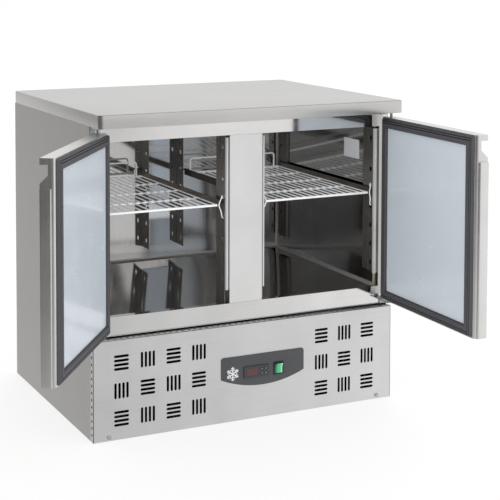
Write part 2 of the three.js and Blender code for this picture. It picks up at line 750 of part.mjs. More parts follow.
function doorGasket(side) {
  const seat = DOOR.back + 0.05;
  return union([
    gasketRing(side, 0, GASKET.width, seat, seat + 5),
    gasketRing(side, 0.8, 4, seat + 4, GASKET.back - 2.5),
    gasketRing(side, 6, 9.5, seat + 4, GASKET.back - 0.8),
    gasketRing(side, 11.5, GASKET.width - 1, seat + 4, GASKET.back),
  ]);
}

function addDoor(parent, side, openAngle, name) {
  const door = new THREE.Group();
  door.position.set(-side * HINGE_X, HINGE_Y, 0);
  door.rotation.z = THREE.MathUtils.degToRad(-side * openAngle);
  addPart(door, `${name}_skin`, doorSkin(side), 'panelSteel');
  addPart(door, `${name}_foam`, doorFoam(side), 'foam');
  addPart(door, `${name}_inner_panel`, doorInnerPanel(side), 'innerPanel');
  addPart(door, `${name}_gasket`, doorGasket(side), 'gasket');
  parent.add(door);
}

// A plate that stands out from the face frame and carries one door's pin.
function hingeBracket(side, atTop) {
  const front = HINGE_Y - 13;
  const frameFace = FRAME_Y - GAP;
  const inner = side * (HINGE_X - 14);
  const outer = side * (SIDE_X - 2);
  const plate = atTop ? [UNDER_TOP - GAP - 3, UNDER_TOP - GAP] : [276, 279];
  const flange = atTop ? [DOOR.top + 2, UNDER_TOP - GAP] : [266, DOOR.bottom - 2];
  const pin = atTop ? [DOOR.top - 12, plate[1]] : [plate[0], DOOR.bottom + 12];
  const centre = [side * HINGE_X, HINGE_Y];
  const pieces = [
    block(inner, outer, front, frameFace, ...plate),
    block(inner, outer, frameFace - 3, frameFace, ...flange),
    rod('z', PIN_RADIUS, centre, ...pin, 12),
  ];
  if (!atTop) {
    pieces.push(rod('z', PIN_RADIUS + 3, centre, plate[1] - 1, DOOR.bottom - GAP, 12));
  }
  return union(pieces);
}

// ---------------------------------------------------------------- refrigeration

const EVAPORATOR = { halfWidth: 340, bottom: 390, top: 720, back: 316, pipeX: 300 };
const COMPRESSOR = { x: -290, y: 150, radius: 68, bottom: 10, top: 182 };
const FAN = { x: 297, z: 125, hubFront: -178, radius: 82 };
const CONDENSER = { halfWidth: 105, front: -280, back: -236, bottom: 20, top: 228 };

// A pressed plate with one winding passage raised on its back.
function evaporatorPlate() {
  const { halfWidth, bottom, top, back } = EVAPORATOR;
  const front = LINER.back + LINER_SHEET + GAP;
  const sheet = block(-halfWidth, halfWidth, front, front + 1.6, bottom, top);
  const passes = 5;
  const inset = 20;
  const pitch = (top - bottom - 2 * inset) / (passes - 1);
  const half = 4;
  const x = halfWidth - inset;
  const runs = [];
  for (let pass = 0; pass < passes; pass += 1) {
    const z = bottom + inset + pass * pitch;
    runs.push(block(-x, x, front + 1, back, z - half, z + half));
    if (pass < passes - 1) {
      const end = pass % 2 === 0 ? -x : x - 2 * half;
      runs.push(block(end, end + 2 * half, front + 1, back, z - half, z + pitch + half));
    }
  }
  return union([sheet, ...runs]);
}

function suctionPipe() {
  const x = EVAPORATOR.pipeX;
  const y = EVAPORATOR.back + 3.5;
  const { x: endX, y: endY, top } = COMPRESSOR;
  return tube([
    [x, y, EVAPORATOR.bottom - 6], [x, y, 300], [x - 10, y - 2, 250], [x - 90, y - 14, 236],
    [-120, y - 14, 236], [-240, 240, 236], [endX, endY + 20, 228], [endX, endY, 205], [endX, endY, top + 0.4],
  ], 3, 26);
}

function compressor() {
  const { x, y, radius, bottom, top } = COMPRESSOR;
  const shell = lathe([
    [0, bottom + 6], [radius * 0.7, bottom + 6], [radius, bottom + 26], [radius, bottom + 92],
    [radius + 4, bottom + 94], [radius + 4, bottom + 99], [radius, bottom + 101],
    [radius, bottom + 140], [radius * 0.75, top - 8], [radius * 0.2, top], [0, top],
  ], x, y, 16);
  const plate = block(x - 90, x + 90, y - 60, y + 60, bottom + 4, bottom + 9);
  const feet = [];
  for (const dx of [-78, 78]) {
    for (const dy of [-48, 48]) {
      feet.push(rod('z', 11, [x + dx, y + dy], BASE_THICKNESS + GAP, bottom + 5, 10));
    }
  }
  return union([shell, plate, ...feet]);
}

// The fin block: a slab with upright air gaps and the ends of its tubes at the sides.
function condenser() {
  const { halfWidth, front, back, bottom, top } = CONDENSER;
  const slab = block(FAN.x - halfWidth, FAN.x + halfWidth, front, back, bottom, top);
  const gaps = 11;
  const pitch = (2 * halfWidth - 16) / gaps;
  const openings = [];
  for (let gap = 0; gap < gaps; gap += 1) {
    const x = FAN.x - halfWidth + 8 + (gap + 0.5) * pitch;
    const half = pitch / 2 - 1.5;
    openings.push(block(x - half, x + half, front - 1, back + 1, bottom + 10, top - 10));
  }
  const middle = (front + back) / 2;
  const bends = [0.25, 0.5, 0.75].map((share) => {
    const z = bottom + share * (top - bottom);
    return block(FAN.x - halfWidth - 8, FAN.x + halfWidth + 8, middle - 14, middle + 14, z - 4, z + 4)
      .subtract(block(FAN.x - halfWidth + 1, FAN.x + halfWidth - 1, front, back, z - 5, z + 5));
  });
  const feet = [-1, 1].map((side) => {
    const outer = FAN.x + side * halfWidth;
    return block(outer - side * 14, outer, front, back, BASE_THICKNESS + GAP, bottom + 1);
  });
  return union([cut(slab, openings), ...bends, ...feet]);
}

function fanMotor() {
  const { x, z, hubFront } = FAN;
  const motorFront = hubFront + 34;
  return union([
    rod('y', 30, [x, z], motorFront, motorFront + 52, 16),
    rod('y', 3, [x, z], hubFront + 6, motorFront + 1, 10),
    block(x - 12, x + 12, motorFront + 20, motorFront + 24, BASE_THICKNESS + GAP, z - 20),
    block(x - 45, x + 45, motorFront + 10, motorFront + 34, BASE_THICKNESS + GAP, BASE_THICKNESS + 4),
  ]);
}

function fanBlade() {
  const { x, z, hubFront, radius } = FAN;
  const middle = hubFront + 12;
  const hub = rod('y', 16, [0, 0], hubFront, hubFront + 24, 16);
  const pieces = [hub];
  const blades = 5;
  for (let blade = 0; blade < blades; blade += 1) {
    const paddle = new THREE.BoxGeometry(radius - 12, 2, 46);
    paddle.rotateX(THREE.MathUtils.degToRad(28));
    paddle.translate(12 + (radius - 12) / 2, 0, 0);
    paddle.rotateY((2 * Math.PI * blade) / blades);
    paddle.translate(0, middle, 0);
    pieces.push(solidOf(paddle));
  }
  const sweep = rod('y', radius, [0, 0], hubFront - 20, hubFront + 44, 24);
  const bore = rod('y', 3.4, [0, 0], hubFront + 5, hubFront + 25, 10);
  return cut(union(pieces).intersect(sweep), [bore]).translate([x, 0, z]);
}

// ---------------------------------------------------------------- assembly

const SIDES = [['left', -1], ['right', 1]];

function addCabinet(group) {
  addPart(group, 'worktop', worktop(), 'topSteel');
  addPart(group, 'back_panel', backPanel(), 'galvanised');
  addPart(group, 'base_pan', basePan(), 'galvanised');
  addPart(group, 'front_frame', frontFrame(), 'panelSteel');
  addPart(group, 'centre_mullion', centreMullion(), 'panelSteel');
  addPart(group, 'liner', liner(), 'linerSteel');
  addPart(group, 'insulation', insulation(), 'foam');
  for (const [name, side] of SIDES) {
    addPart(group, `side_panel_${name}`, sidePanel(side), 'panelSteel');
    const jambStrip = breakerStrip(side * OPENING.halfWidth, -side, 6.7, 6.3);
    const mullionStrip = breakerStrip(side * MULLION_HALF, side, 4, 5);
    addPart(group, `breaker_strip_${name}_jamb`, jambStrip, 'paleStrip');
    addPart(group, `breaker_strip_${name}_mullion`, mullionStrip, 'paleStrip');
  }
}

function addShelving(group) {
  addPart(group, 'centre_upright_front', centreUpright(true), 'uprightSteel');
  addPart(group, 'centre_upright_rear', centreUpright(false), 'uprightSteel');
  for (const [name, side] of SIDES) {
    addPart(group, `wall_upright_${name}_front`, wallUpright(side, true), 'uprightSteel');
    addPart(group, `wall_upright_${name}_rear`, wallUpright(side, false), 'uprightSteel');
    for (const [edge, outerEdge] of [['outer', true], ['inner', false]]) {
      addPart(group, `shelf_runner_${name}_${edge}`, shelfRunner(side, outerEdge), 'uprightSteel');
      addPart(group, `shelf_clip_${name}_${edge}`, shelfClip(side, outerEdge), 'whiteWire');
    }
    addPart(group, `shelf_${name}`, shelf(side), 'whiteWire');
  }
}

function addControls(group) {
  addPart(group, 'front_grille_panel', frontGrillePanel(), 'panelSteel');
  for (const [name, side] of SIDES) {
    addPart(group, `panel_screw_${name}`, panelScrew(side), 'zincSteel');
  }
  addPart(group, 'control_fascia', controlFascia(), 'charcoal');
  addPart(group, 'controller_body', controllerBody(), 'blackPlastic');
  addPart(group, 'display_window', displayWindow(), 'redWindow');
  for (const [name, dx, dz] of KEYS) {
    addPart(group, `controller_key_${name}`, controllerKey(dx, dz), 'greyKey');
  }
  addPart(group, 'switch_housing', switchHousing(), 'blackPlastic');
  const rocker = new THREE.Group();
  rocker.position.set(SWITCH.x, ROCKER_Y, SWITCH.z);
  rocker.rotation.x = THREE.MathUtils.degToRad(SWITCH.tilt);
  addPart(rocker, 'switch_rocker', switchRocker(), 'greenLens');
  group.add(rocker);
}

function addRefrigeration(group) {
  addPart(group, 'evaporator_plate', evaporatorPlate(), 'aluminium');
  addPart(group, 'suction_pipe', suctionPipe(), 'copper');
  addPart(group, 'compressor', compressor(), 'blackEnamel');
  addPart(group, 'condenser', condenser(), 'blackEnamel');
  addPart(group, 'condenser_fan_motor', fanMotor(), 'zincSteel');
  addPart(group, 'condenser_fan_blade', fanBlade(), 'aluminium');
}

const refrigerator = new THREE.Group();
addCabinet(refrigerator);
addShelving(refrigerator);
addControls(refrigerator);
addRefrigeration(refrigerator);
addDoor(refrigerator, 1, OPEN_LEFT, 'door_left');
addDoor(refrigerator, -1, OPEN_RIGHT, 'door_right');
for (const [name, side] of SIDES) {
  addPart(refrigerator, `hinge_bracket_${name}_top`, hingeBracket(side, true), 'zincSteel');
  addPart(refrigerator, `hinge_bracket_${name}_bottom`, hingeBracket(side, false), 'zincSteel');
}

export default refrigerator;
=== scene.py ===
"""Looks for a two-door undercounter refrigerator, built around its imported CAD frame.

Everything is in metres in the CAD frame: +X right, +Y to the back, +Z up, doors on the -Y side.
"""

import json
import math

import bmesh
import bpy
from mathutils import Matrix, Vector


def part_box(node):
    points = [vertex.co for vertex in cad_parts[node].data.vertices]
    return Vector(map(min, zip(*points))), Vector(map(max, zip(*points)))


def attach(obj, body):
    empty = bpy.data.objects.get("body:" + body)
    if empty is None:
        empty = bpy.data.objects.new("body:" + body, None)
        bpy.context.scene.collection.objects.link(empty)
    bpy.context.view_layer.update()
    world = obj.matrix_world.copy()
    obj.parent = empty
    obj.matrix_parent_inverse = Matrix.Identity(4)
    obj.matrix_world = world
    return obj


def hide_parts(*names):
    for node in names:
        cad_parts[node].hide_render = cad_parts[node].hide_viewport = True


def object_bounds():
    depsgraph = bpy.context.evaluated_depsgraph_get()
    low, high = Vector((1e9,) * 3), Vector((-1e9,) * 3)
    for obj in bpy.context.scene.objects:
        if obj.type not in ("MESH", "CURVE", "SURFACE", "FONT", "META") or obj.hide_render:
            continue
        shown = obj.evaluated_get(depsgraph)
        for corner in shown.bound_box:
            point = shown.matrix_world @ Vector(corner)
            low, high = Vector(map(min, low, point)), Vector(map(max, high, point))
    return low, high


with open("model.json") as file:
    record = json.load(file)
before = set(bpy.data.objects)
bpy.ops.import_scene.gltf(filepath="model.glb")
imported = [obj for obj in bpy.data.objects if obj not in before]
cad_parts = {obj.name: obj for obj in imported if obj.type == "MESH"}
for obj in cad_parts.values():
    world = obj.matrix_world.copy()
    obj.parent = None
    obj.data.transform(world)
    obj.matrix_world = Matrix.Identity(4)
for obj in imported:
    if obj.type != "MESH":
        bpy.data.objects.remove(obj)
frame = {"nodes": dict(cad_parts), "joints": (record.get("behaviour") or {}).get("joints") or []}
cad_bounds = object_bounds()
NODES = frame["nodes"]
JOINTS = {joint["name"]: joint for joint in frame["joints"]}
SIDES = (("left", -1), ("right", 1))
SHEET = 0.0012


# ---------------------------------------------------------------- node materials


def linear(hex_color):
    """The scene-linear values of an sRGB colour written as a hex string."""
    values = [int(hex_color[i : i + 2], 16) / 255 for i in (1, 3, 5)]
    return [v / 12.92 if v <= 0.04045 else ((v + 0.055) / 1.055) ** 2.4 for v in values] + [1.0]


def add_node(tree, kind, inputs=None, **settings):
    """Adds a shader node; an input is a value, or a socket to link from."""
    made = tree.nodes.new("ShaderNode" + kind)
    for name, value in settings.items():
        setattr(made, name, value)
    for name, value in (inputs or {}).items():
        if isinstance(value, bpy.types.NodeSocket):
            tree.links.new(value, made.inputs[name])
        else:
            made.inputs[name].default_value = value
    return made


def principled(name, color, roughness, metallic=0.0):
    material = bpy.data.materials.new(name)
    material.use_nodes = True
    shader = material.node_tree.nodes["Principled BSDF"]
    shader.inputs["Base Color"].default_value = linear(color)
    shader.inputs["Roughness"].default_value = roughness
    shader.inputs["Metallic"].default_value = metallic
    return material, material.node_tree, shader


def noise(tree, scale, detail):
    """Noise in object space, stretched by a different scale along each axis."""
    place = add_node(tree, "TexCoord").outputs["Object"]
    mapped = add_node(tree, "Mapping", {"Vector": place, "Scale": scale})
    vector = mapped.outputs["Vector"]
    return add_node(tree, "TexNoise", {"Vector": vector, "Scale": 1.0, "Detail": detail}).outputs[0]


def remap(tree, value, low, high, start=0.3, end=0.7):
    limits = {"Value": value, "From Min": start, "From Max": end, "To Min": low, "To Max": high}
    return add_node(tree, "MapRange", limits).outputs["Result"]


def add(tree, first, second):
    return add_node(tree, "Math", {0: first, 1: second}, operation="ADD").outputs[0]


def edge_mask(tree, radius):
    """0 on flat faces, rising towards 1 at convex and concave edges."""
    soft = add_node(tree, "Bevel", {"Radius": radius}, samples=4).outputs["Normal"]
    plain = add_node(tree, "NewGeometry").outputs["Normal"]
    dot = add_node(tree, "VectorMath", {0: soft, 1: plain}, operation="DOT_PRODUCT").outputs["Value"]
    return remap(tree, dot, 1.0, 0.0, 0.8, 0.995)


def shade(tree, color, value):
    """The colour made lighter or darker by a socket around 1."""
    return add_node(tree, "HueSaturation", {"Color": color, "Value": value}).outputs["Color"]


def mix(tree, factor, first, second):
    return add_node(tree, "MixRGB", {"Fac": factor, "Color1": first, "Color2": second}).outputs["Color"]


def bump(tree, height, distance):
    inputs = {"Height": height, "Distance": distance, "Strength": 1.0}
    return add_node(tree, "Bump", inputs).outputs["Normal"]


def color_ramp(tree, value, stops):
    """A colour from a list of positions from 0 to 1 with their colours."""
    ramp = add_node(tree, "ValToRGB", {"Fac": value})
    elements = ramp.color_ramp.elements
    for element, (position, color) in zip(elements, (stops[0], stops[-1])):
        element.position = position
        element.color = color
    for position, color in stops[1:-1]:
        elements.new(position).color = color
    return ramp.outputs["Color"]


def grey_ramp(tree, value, stops):
    """The same with a grey level at each position."""
    return color_ramp(tree, value, [(position, (level,) * 3 + (1.0,)) for position, level in stops])


def steel(name, color, roughness, grain, worn="#f2f0ec", depth=0.00003, contrast=0.04, metallic=1.0):
    """Brushed stainless: fine lines along one axis, faint smudges and brighter edges."""
    material, tree, shader = principled(name, color, roughness, metallic)
    line_scale = [6.0 if axis == grain else 1100.0 for axis in "xyz"]
    lines = noise(tree, line_scale, 2.0)
    smudges = noise(tree, (7.0, 7.0, 7.0), 4.0)
    base = shade(tree, linear(color), remap(tree, smudges, 0.95, 1.05))
    base = shade(tree, base, remap(tree, lines, 1 - contrast, 1 + contrast))
    edges = edge_mask(tree, 0.0016)
    links = tree.links
    wear = remap(tree, edges, 0.0, 0.45, 0.05, 0.6)
    links.new(mix(tree, wear, base, linear(worn)), shader.inputs["Base Color"])
    spread = min(0.05, roughness * 0.6)
    fine = remap(tree, lines, roughness - spread, roughness + spread)
    rough = add(tree, fine, remap(tree, smudges, 0.0, spread))
    links.new(rough, shader.inputs["Roughness"])
    links.new(bump(tree, lines, depth), shader.inputs["Normal"])
    return material


def slotted_post(name):
    return steel(name, "#8a857f", 0.22, "z", worn="#b9b4ae", depth=0.000005, contrast=0.012, metallic=0.72)


def post_with_web(name, half_width):
    """The wide rear post: slotted plates like the other posts, and between them a polished web."""
    material = slotted_post(name)
    tree = material.node_tree
    shader = tree.nodes["Principled BSDF"]
    place = add_node(tree, "TexCoord").outputs["Object"]
    x = add_node(tree, "SeparateXYZ", {0: place}).outputs["X"]
    distance = add_node(tree, "Math", {0: x}, operation="ABSOLUTE").outputs[0]
    plates = remap(tree, distance, 0.0, 1.0, half_width - 0.002, half_width - 0.0015)
    plain = shader.inputs["Base Color"].links[0].from_socket
    tree.links.new(mix(tree, plates, linear("#bcbec1"), plain), shader.inputs["Base Color"])
    rough = shader.inputs["Roughness"].links[0].from_socket
    tree.links.new(mix(tree, plates, (0.07, 0.07, 0.07, 1.0), rough), shader.inputs["Roughness"])
    tree.links.new(remap(tree, plates, 1.0, 0.72, 0.0, 1.0), shader.inputs["Metallic"])
    return material


def plastic(
    name, color, roughness, texture_scale=900.0, depth=0.00002, coat=0.0, painted_glow=0.0, drift_range=0.06
):
    """Moulded plastic or enamel: a fine skin texture, slow colour drift, scuffed edges and, where given, a
    painted glow in its own colour.
    """
    material, tree, shader = principled(name, color, roughness)
    shader.inputs["Coat Weight"].default_value = coat
    shader.inputs["Coat Roughness"].default_value = 0.08
    skin = noise(tree, (texture_scale,) * 3, 2.0)
    drift = noise(tree, (12.0, 12.0, 12.0), 3.0)
    base = shade(tree, linear(color), remap(tree, drift, 1 - drift_range, 1 + drift_range))
    lighter = shade(tree, base, 1.25)
    edges = edge_mask(tree, 0.0009)
    tree.links.new(mix(tree, remap(tree, edges, 0.0, 0.5), base, lighter), shader.inputs["Base Color"])
    # Emission in the plastic's own colour is a painted glow that brightens the part as if more light fell
    # on it; it is no lamp.
    shader.inputs["Emission Color"].default_value = linear(color)
    shader.inputs["Emission Strength"].default_value = painted_glow
    tree.links.new(remap(tree, drift, roughness - 0.04, roughness + 0.06), shader.inputs["Roughness"])
    tree.links.new(bump(tree, skin, depth), shader.inputs["Normal"])
    return material


def galvanised(name):
    """Zinc-coated sheet with a faint crystal pattern."""
    material, tree, shader = principled(name, "#8f9396", 0.5, 0.9)
    place = add_node(tree, "TexCoord").outputs["Object"]
    cells = add_node(tree, "TexVoronoi", {"Vector": place, "Scale": 70.0}).outputs["Color"]
    grey = add_node(tree, "RGBToBW", {"Color": cells}).outputs["Val"]
    base = shade(tree, linear("#8f9396"), remap(tree, grey, 0.82, 1.12, 0.2, 0.8))
    tree.links.new(base, shader.inputs["Base Color"])
    tree.links.new(remap(tree, grey, 0.38, 0.6, 0.2, 0.8), shader.inputs["Roughness"])
    return material


def foam(name):
    material, tree, shader = principled(name, "#e3d9b8", 0.95)
    pores = noise(tree, (500.0, 500.0, 500.0), 4.0)
    base = shade(tree, linear("#e3d9b8"), remap(tree, pores, 0.85, 1.08))
    tree.links.new(base, shader.inputs["Base Color"])
    tree.links.new(bump(tree, pores, 0.0006), shader.inputs["Normal"])
    return material


def lit_green(name, centre_x, half_width):
    """The rocker's lens: painted shade in deep green on the left, bright in the middle, and a pale painted
    highlight on the right.
    """
    material, tree, shader = principled(name, "#3fb37a", 0.22)
    place = add_node(tree, "TexCoord").outputs["Object"]
    x = add_node(tree, "SeparateXYZ", {0: place}).outputs["X"]
    across = remap(tree, x, 0.0, 1.0, centre_x - half_width, centre_x + half_width)
    # The deep green stops are painted shade on the side away from the light; the pale stop at the right is
    # a painted highlight.
    stops = ((0.0, "#0f4a2f"), (0.2, "#18754a"), (0.34, "#3bb87a"), (0.74, "#4fc78c"), (0.86, "#a7dcc0"))
    greens_with_painted_light = color_ramp(tree, across, [(position, linear(color)) for position, color in stops])
    cloud = noise(tree, (300.0, 300.0, 300.0), 2.0)
    color = shade(tree, greens_with_painted_light, remap(tree, cloud, 0.92, 1.06))
    tree.links.new(color, shader.inputs["Base Color"])
    tree.links.new(color, shader.inputs["Emission Color"])
    shader.inputs["Emission Strength"].default_value = 0.03
    shader.inputs["Coat Weight"].default_value = 0.5
    return material


def dark_window(name):
    """Smoked red plastic in front of the display, its tone varying in soft clouds."""
    material, tree, shader = principled(name, "#3a1619", 0.12)
    cloud = noise(tree, (60.0, 60.0, 90.0), 2.0)
    base = shade(tree, linear("#46191d"), remap(tree, cloud, 0.7, 1.15))
    tree.links.new(base, shader.inputs["Base Color"])
    shader.inputs["Coat Weight"].default_value = 1.0
    return material


MATERIALS = {
    "top_steel": steel("top_steel", "#c9c8c6", 0.3, "x"),
    "rail_steel": steel("rail_steel", "#d9d8d7", 0.05, "x", depth=0.000003, contrast=0.015),
    "panel_steel": steel("panel_steel", "#d6d6d6", 0.38, "x"),
    "mullion_steel": steel("mullion_steel", "#e6e6e5", 0.34, "z", depth=0.000005, contrast=0.015),
    "side_steel": steel("side_steel", "#b5b3b0", 0.36, "z"),
    "door_steel": steel("door_steel", "#dddcda", 0.27, "z", depth=0.00001, contrast=0.03),
    "liner_steel": steel(
        "liner_steel", "#b9b8b7", 0.06, "z", worn="#d8d4d0", depth=0.000003, contrast=0.01
    ),
    # Lighter and less metallic than the liner: a painted highlight along the liner's coves.
    "cove_painted_highlight_steel": steel("cove_painted_highlight_steel", "#c4c2bf", 0.3, "x", depth=0.000003, metallic=0.4),
    "post_steel": slotted_post("post_steel"),
    "rear_post_steel": post_with_web("rear_post_steel", 0.058),
    "runner_steel": steel("runner_steel", "#77706a", 0.3, "y", worn="#98918a", contrast=0.02),
    "hardware_steel": steel("hardware_steel", "#b4b8bc", 0.35, "z"),
    "galvanised": galvanised("galvanised"),
    "foam": foam("foam"),
    "pale_strip": plastic("pale_strip", "#dadbda", 0.45),
    "gasket": plastic("gasket", "#545357", 0.6, 1500.0, 0.00004),
    # The door lining and the white wire carry a painted glow that stands in for light from the front.
    "door_lining": plastic(
        "door_lining", "#cdd5dd", 0.22, 500.0, 0.00001, coat=0.3, painted_glow=0.14, drift_range=0.015
    ),
    "white_wire": plastic("white_wire", "#f6f7f8", 0.35, 1200.0, 0.00001, coat=0.3, painted_glow=0.22),
    "charcoal": plastic("charcoal", "#48494c", 0.42),
    "black_plastic": plastic("black_plastic", "#1b1c1e", 0.35),
    "controller_plastic": plastic("controller_plastic", "#3b3d40", 0.35),
    "key_grey": plastic("key_grey", "#33353a", 0.5),
    "print_grey": plastic("print_grey", "#b9bcc0", 0.5),
    "print_white": plastic("print_white", "#e6e8ea", 0.5),
    # The label's emission is a painted glow; it is no lamp.
    "label_white": plastic("label_white", "#eceef0", 0.4, painted_glow=0.12),
    "dim_red": plastic("dim_red", "#6d2a2e", 0.3),
    "enamel": plastic("enamel", "#1d1e20", 0.3, 700.0, 0.00003, coat=0.5),
    "aluminium": steel("aluminium", "#b7babd", 0.4, "x"),
    "copper": steel("copper", "#b06a45", 0.3, "z", worn="#d99a78"),
    "window": dark_window("window"),
}


# ---------------------------------------------------------------- geometry


def smooth_by_angle(angle):
    """A node group that welds a faceted CAD mesh and smooths every edge flatter than the angle."""
    group = bpy.data.node_groups.new(f"smooth_{round(math.degrees(angle))}", "GeometryNodeTree")
    group.interface.new_socket("Geometry", in_out="INPUT", socket_type="NodeSocketGeometry")
    group.interface.new_socket("Geometry", in_out="OUTPUT", socket_type="NodeSocketGeometry")
    nodes, links = group.nodes, group.links
    start = nodes.new("NodeGroupInput")
    weld = nodes.new("GeometryNodeMergeByDistance")
    weld.inputs["Distance"].default_value = 1e-6
    drop = nodes.new("GeometryNodeRemoveAttribute")
    drop.inputs["Name"].default_value = "custom_normal"
    faces = nodes.new("GeometryNodeSetShadeSmooth")
    faces.domain = "FACE"
    bend = nodes.new("GeometryNodeInputMeshEdgeAngle")
    sharp = nodes.new("FunctionNodeCompare")
    sharp.operation = "GREATER_THAN"
    sharp.inputs["B"].default_value = angle
    edges = nodes.new("GeometryNodeSetShadeSmooth")
    edges.domain = "EDGE"
    edges.inputs["Shade Smooth"].default_value = False
    end = nodes.new("NodeGroupOutput")
    links.new(start.outputs[0], weld.inputs["Geometry"])
    links.new(weld.outputs["Geometry"], drop.inputs["Geometry"])
    links.new(drop.outputs["Geometry"], faces.inputs["Geometry"])
    links.new(faces.outputs["Geometry"], edges.inputs["Geometry"])
    links.new(bend.outputs["Unsigned Angle"], sharp.inputs["A"])
    links.new(sharp.outputs["Result"], edges.inputs["Selection"])
    links.new(edges.outputs["Geometry"], end.inputs[0])
    return group


SMOOTH = smooth_by_angle(math.radians(32))


def round_edges(obj, width):
    """Joins flat facets into whole faces, then rounds every sharp edge."""
    flatten = obj.modifiers.new("flatten", "DECIMATE")
    flatten.decimate_type = "DISSOLVE"
    flatten.angle_limit = math.radians(0.5)
    bevel = obj.modifiers.new("round", "BEVEL")
    bevel.width = width
    bevel.segments = 2
    bevel.limit_method = "ANGLE"
    bevel.angle_limit = math.radians(40)
    bevel.use_clamp_overlap = True


def add_smoothing(obj):
    obj.modifiers.new("smooth", "NODES").node_group = SMOOTH


def dress(node, material, bevel=0.0):
    """Gives a CAD node its finish, and rounded edges where a width is given."""
    obj = NODES[node]
    obj.data.materials.clear()
    obj.data.materials.append(MATERIALS[material])
    add_smoothing(obj)
    if bevel:
        round_edges(obj, bevel)
        add_smoothing(obj)


def piece(name, bm, material, body, replaced=(), bevel=0.0):
    """Makes a finished object from a bmesh and hangs it on its CAD body."""
    bmesh.ops.remove_doubles(bm, verts=bm.verts, dist=1e-7)
    bmesh.ops.recalc_face_normals(bm, faces=bm.faces)
    mesh = bpy.data.meshes.new(name)
    bm.to_mesh(mesh)
    bm.free()
    obj = bpy.data.objects.new(name, mesh)
    bpy.context.scene.collection.objects.link(obj)
    finished = MATERIALS[material] if isinstance(material, str) else material
    mesh.materials.append(finished)
    if bevel:
        round_edges(obj, bevel)
    add_smoothing(obj)
    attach(obj, body)
    if replaced:
        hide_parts(*replaced)
    return obj


def prism(bm, points, low, high, place):
    """A closed prism; place turns an outline point and a height into a position."""
    bottom = [bm.verts.new(place(a, b, low)) for a, b in points]
    top = [bm.verts.new(place(a, b, high)) for a, b in points]
    bm.faces.new(bottom[::-1])
    bm.faces.new(top)
    count = len(points)
    for i in range(count):
        j = (i + 1) % count
        bm.faces.new((bottom[i], bottom[j], top[j], top[i]))


def upright(a, b, c):
    return Vector((a, b, c))


def facing_front(a, b, c):
    """An outline drawn in XZ; the third value is the Y position."""
    return Vector((a, c, b))


def box(bm, low, high):
    corners = [(low[0], low[1]), (high[0], low[1]), (high[0], high[1]), (low[0], high[1])]
    prism(bm, corners, low[2], high[2], upright)


def arc(centre, radius, start, end, steps):
    """Points on an arc, with its angles in degrees."""
    points = []
    for step in range(steps + 1):
        angle = math.radians(start + (end - start) * step / steps)
        points.append((centre[0] + radius * math.cos(angle), centre[1] + radius * math.sin(angle)))
    return points


def stadium(x, z, length, width, level, steps=6):
    """A slot with round ends, lying level or upright."""
    half = (length - width) / 2
    ends = arc((half, 0), width / 2, -90, 90, steps) + arc((-half, 0), width / 2, 90, 270, steps)
    return [(x + a, z + b) if level else (x - b, z + a) for a, b in ends]


def rectangle(x0, x1, z0, z1):
    return [(x0, z0), (x1, z0), (x1, z1), (x0, z1)]


def punched_sheet(bm, outline, holes, low, high, place):
    """A flat closed sheet with holes, from a filled 2D curve, added to the bmesh."""
    curve = bpy.data.curves.new("sheet", "CURVE")
    curve.dimensions = "2D"
    curve.fill_mode = "BOTH"
    curve.extrude = 0.5
    for points in [outline, *holes]:
        spline = curve.splines.new("POLY")
        spline.points.add(len(points) - 1)
        for point, (a, b) in zip(spline.points, points):
            point.co = (a, b, 0.0, 1.0)
        spline.use_cyclic_u = True
    holder = bpy.data.objects.new("sheet", curve)
    mesh = bpy.data.meshes.new_from_object(holder)
    for vertex in mesh.vertices:
        a, b, c = vertex.co
        vertex.co = place(a, b, low + (c + 0.5) * (high - low))
    bm.from_mesh(mesh)
    bpy.data.objects.remove(holder)
    bpy.data.curves.remove(curve)
    bpy.data.meshes.remove(mesh)


def rounded_path(points, radius, steps=5):
    """The same open path with each inner corner replaced by a small curve."""
    points = [Vector(p) for p in points]
    path = [points[0]]
    for before, corner, after in zip(points, points[1:], points[2:]):
        start = corner + (before - corner).normalized() * radius
        end = corner + (after - corner).normalized() * radius
        for step in range(steps + 1):
            t = step / steps
            path.append(start * (1 - t) ** 2 + corner * 2 * t * (1 - t) + end * t**2)
    return path + [points[-1]]


def tube(bm, path, radius, sides=10):
    """A closed round bar swept along an open path."""
    path = [Vector(p) for p in path]
    rings = []
    side = None
    for i, point in enumerate(path):
        along = (path[min(i + 1, len(path) - 1)] - path[max(i - 1, 0)]).normalized()
        if side is None:
            side = along.orthogonal().normalized()
        side = (side - along * side.dot(along)).normalized()
        other = along.cross(side)
        ring = []
        for k in range(sides):
            angle = 2 * math.pi * k / sides
            ring.append(bm.verts.new(point + radius * (side * math.cos(angle) + other * math.sin(angle))))
        rings.append(ring)
    for ring, after in zip(rings, rings[1:]):
        for k in range(sides):
            j = (k + 1) % sides
            bm.faces.new((ring[k], ring[j], after[j], after[k]))
    bm.faces.new(rings[0][::-1])
    bm.faces.new(rings[-1])


# ---------------------------------------------------------------- cabinet


